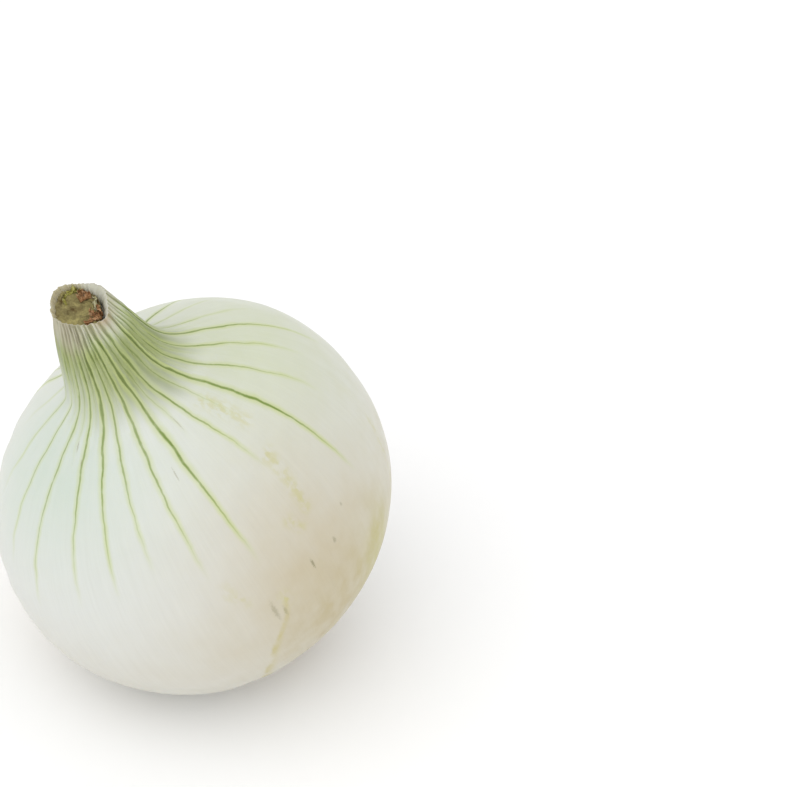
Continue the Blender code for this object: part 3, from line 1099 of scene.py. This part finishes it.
dry_heart = link_mesh("dry_heart", place(plug_points), plug_faces, plug_finish)
print("plug rings:", len(plug_rings))

# %% [markdown]
# Torn ends of leaves stand in the opening: rust-brown withered scraps at the right front and at
# the back, yellow-green ones at the back left and pale ones at the right. Each is a small bent
# plate with a ragged upper edge. A cloth simulation could crumple it, but a few waves with
# seeded strengths do, and give the same scrap on every run.

# %% One scrap of leaf
SCRAP_THICKNESS = 0.11


def leaf_scrap(side, from_axis, height, width, tall, turn, crumple, seed):
    """A thin bent plate standing at a place of the opening, ragged at its top."""
    chance = np.random.default_rng(seed)
    across, up = np.meshgrid(np.linspace(-1, 1, 15), np.linspace(0, 1, 10), indexing="ij")
    ragged = 0.75 + 0.25 * waves(across[:, 0] * 2.5, seed, 1, 9, 6)
    rough = sum(
        chance.uniform(-1, 1) * np.sin(a * across * 2.2 + b * up * 3 + chance.uniform(0, 6))
        for a, b in ((1, 1), (2, 1), (1, 2), (3, 2), (2, 4))
    )
    bend = crumple * rough * (0.35 + up)
    turned = math.radians(side + FRONT)
    faces_to = math.radians(side + FRONT + turn)
    x = across * width / 2
    z = up * tall * ragged[:, None]
    middle = body_point(np.array(height), np.array(turned), np.array(from_axis))
    along = np.array([-math.sin(faces_to), math.cos(faces_to), 0])
    out = np.array([math.cos(faces_to), math.sin(faces_to), 0])
    curl = -(across**2) * width * 0.16
    sheet = middle + x[..., None] * along + (curl + bend)[..., None] * out
    sheet[..., 2] += z
    thick = SCRAP_THICKNESS * (1.15 - 0.6 * up)[..., None] * out
    loops = []
    for i in range(len(sheet)):
        loops.append(np.concatenate([sheet[i] + thick[i], (sheet[i] - thick[i])[::-1]]))
    return solid_of_rings(np.array(loops)[::-1])


print("scraps are, mm thick:", SCRAP_THICKNESS)

# %% [markdown]
# Each row is one scrap: its angle, its distance from the axis, the height of its foot, its width
# and height, how far it turns away from the rim in degrees, its crumple and its random seed.
# Withered leaf has lost its green and its gloss, so all three kinds share the dry finish.

# %% Scraps of leaf in the opening
RUST_SCRAPS = (
    (38, 4.4, 49.0, 2.8, 1.8, 20, 0.22, 1),
    (20, 4.5, 49.4, 2.4, 1.6, -15, 0.25, 2),
    (54, 4.0, 49.3, 2.2, 2.0, 50, 0.25, 3),
    (34, 3.3, 49.6, 2.6, 1.7, 75, 0.28, 4),
    (6, 4.6, 49.9, 1.8, 1.2, 10, 0.20, 5),
    (132, 2.4, 51.2, 2.6, 2.2, 30, 0.26, 6),
    (150, 3.2, 51.3, 2.2, 1.9, -25, 0.24, 7),
)
YELLOW_SCRAPS = (
    (-172, 4.2, 51.8, 2.8, 1.9, 10, 0.20, 8),
    (168, 4.2, 51.5, 2.4, 1.5, -20, 0.18, 9),
    (-140, 3.6, 51.8, 2.0, 1.4, 35, 0.22, 10),
)
PALE_SCRAPS = (
    (98, 3.2, 50.0, 4.0, 1.9, 0, 0.10, 11),
    (72, 3.0, 49.6, 2.6, 1.6, 15, 0.14, 12),
)
SCRAP_KINDS = (
    ("rust_scraps", RUST_SCRAPS, ("#77502f", "#a97d55", "#c4a27e"), "withered_rust_leaf"),
    ("yellow_scraps", YELLOW_SCRAPS, ("#7c7738", "#a09b48", "#b9b577"), "wilted_yellow_leaf"),
    ("pale_scraps", PALE_SCRAPS, ("#aca77c", "#bbb690", "#cac5a6"), "drying_green_leaf"),
)
scraps = {}
for name, table, colours, finish in SCRAP_KINDS:
    scrap_points, scrap_faces = joined([leaf_scrap(*row) for row in table])
    scrap_finish = mottled(finish, colours, 0.9, 0.85, 0.1)
    scraps[name] = link_mesh(name, place(scrap_points), scrap_faces, scrap_finish)
for piece in (dry_heart, *scraps.values()):
    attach(piece, "root")
print("scraps:", sum(len(kind[1]) for kind in SCRAP_KINDS))

# %% [markdown]
# ## Root plate
# Underneath, the roots have been trimmed to stubs on a corky plate. The plate is a lumpy disc
# sunk in the end of the bulb. It grew with the bulb, so its outline is the skin's last ring.

# %% Corky plate
PLATE_SINKS, PLATE_BACK = 0.15, 1.9
PLATE_LUMP = 0.20

plate_ring = plate_edge[::4]
plate_around = column_around[::4]
plate_rings = []
for share in (0.5, 0.78, 0.86):
    ring = plate_middle + (plate_ring - plate_middle) * share
    ring[:, 2] += PLATE_BACK - 0.5 * share
    plate_rings.append(ring)
for share in np.linspace(0.89, 0.06, 12):
    ring = plate_middle + (plate_ring - plate_middle) * share
    lumps = PLATE_LUMP * waves(plate_around + 3 * share, 51, 4, 15, 8) * smooth(share, 0.05, 0.5)
    ring[:, 2] += 0.35 * smooth(share, 0.6, 0.9) - PLATE_SINKS + lumps
    plate_rings.append(ring)
plate_points, plate_faces = solid_of_rings(plate_rings)
cork = mottled("corky_root_plate", ("#75603c", "#a58d5f", "#c2ae80"), 1.6, 0.9, 0.3)
root_plate = link_mesh("root_plate", place(plate_points), plate_faces, cork)
print("plate rings:", len(plate_rings))

# %% [markdown]
# The stubs are short bent pegs of dried fibre, crowded over the plate in the turning order in
# which seeds sit in a sunflower. A hair system would do the same, but pegs export as solids.
# None is allowed to reach the floor.

# %% Stubs of roots
STUBS = 110
STUB_SIDES = 8
SEED_TURN = 137.5
LEAST_CLEARANCE = 0.35 * MM


def root_stub(foot, outward, length, thick, chance):
    """A bent tapering peg from its foot on the plate, cut square at the end."""
    loops = []
    lean_out = outward * chance.uniform(0.1, 0.6)
    turn = np.linspace(0, 2 * math.pi, STUB_SIDES, endpoint=False)
    for t in (0.0, 0.15, 0.4, 0.7, 0.93, 1.0):
        middle = foot + np.array([0, 0, 0.5 - t * (length + 0.5)]) + lean_out * length * t * t
        swell = thick * (1.15 - 0.35 * t + 0.10 * math.sin(7 * t + foot[0]))
        swell *= 0.72 if t == 1.0 else 1.0
        circle = np.stack([np.cos(turn), np.sin(turn), 0 * turn], axis=-1)
        loops.append(middle + circle * swell)
    return solid_of_rings(loops)


stub_chance = np.random.default_rng(17)
stubs = []
for i in range(STUBS):
    share = math.sqrt((i + 0.5) / STUBS)
    at = i * math.radians(SEED_TURN) + stub_chance.uniform(-0.25, 0.25)
    outward = np.array([math.cos(at), math.sin(at), 0])
    foot = plate_middle + outward * share * PLATE_RADIUS * 0.96
    length = stub_chance.uniform(0.5, 1.7)
    thick = stub_chance.uniform(0.24, 0.42)
    tip = place(foot + outward * 0.6 * length - np.array([0, 0, length + 0.1]))
    if tip[2] > LEAST_CLEARANCE:
        stubs.append(root_stub(foot, outward, length, thick, stub_chance))
stub_points, stub_faces = joined(stubs)
root_fibre = mottled("dried_root_fibre", ("#a08a5e", "#c8b98e", "#ddd3b4"), 1.2, 0.85, 0.12)
root_stubs = link_mesh("root_stubs", place(stub_points), stub_faces, root_fibre)
for piece in (root_plate, root_stubs):
    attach(piece, "root")
print("root stubs:", len(stubs))

# %% [markdown]
# ## Floor and light
# The onion lies on a seamless ground of matt white paper, which sends nearly all light back and
# shows no gloss. It reaches for metres, so its edge lies far off.

# %% Floor
FLOOR_REACH = 6.0
FLOOR_DROP = 0.1 * MM
FLOOR_CORNERS = ((-1, -1), (1, -1), (1, 1), (-1, 1))
floor_points = [(x * FLOOR_REACH, y * FLOOR_REACH, -FLOOR_DROP) for x, y in FLOOR_CORNERS]
floor_material, floor_shader = new_material("white_paper_ground")
floor_shader.inputs["Base Color"].default_value = linear("#fbfbfb")
floor_shader.inputs["Roughness"].default_value = 0.9
floor_shader.inputs["Specular IOR Level"].default_value = 0.0
floor = link_mesh("floor", floor_points, [(0, 1, 2, 3)], floor_material, False)
print("floor reaches, m:", FLOOR_REACH)

# %% [markdown]
# The light is broad and soft, as under a white tent: an even white room all round, a large disc
# from the upper left that models the round form, and a weak one from the right. A sun lamp would
# cut hard shadows. Each lamp has a name, a place from the bulb's middle, a width and a power.

# %% Lights
bpy.context.scene.view_settings.view_transform = "Standard"
world = bpy.data.worlds.new("soft_white_room")
bpy.context.scene.world = world
world.use_nodes = True
WORLD_LIGHT = 0.96
world.node_tree.nodes["Background"].inputs["Color"].default_value = (1, 1, 1, 1)
world.node_tree.nodes["Background"].inputs["Strength"].default_value = WORLD_LIGHT

LAMPS = (
    ("key", (-0.5, -0.5, 1.0), 1.6, 4.2),
    ("fill", (0.9, -0.5, 0.6), 0.8, 0.6),
)
for lamp_name, place_at, size, watts in LAMPS:
    lamp_data = bpy.data.lights.new(lamp_name, "AREA")
    lamp_data.shape = "DISK"
    lamp_data.size = size
    lamp_data.energy = watts
    lamp = bpy.data.objects.new(lamp_name, lamp_data)
    lamp.location = onion_middle + Vector(place_at)
    lamp.rotation_euler = Vector(place_at).to_track_quat("Z", "Y").to_euler()
    bpy.context.scene.collection.objects.link(lamp)
print("lamps:", len(LAMPS))
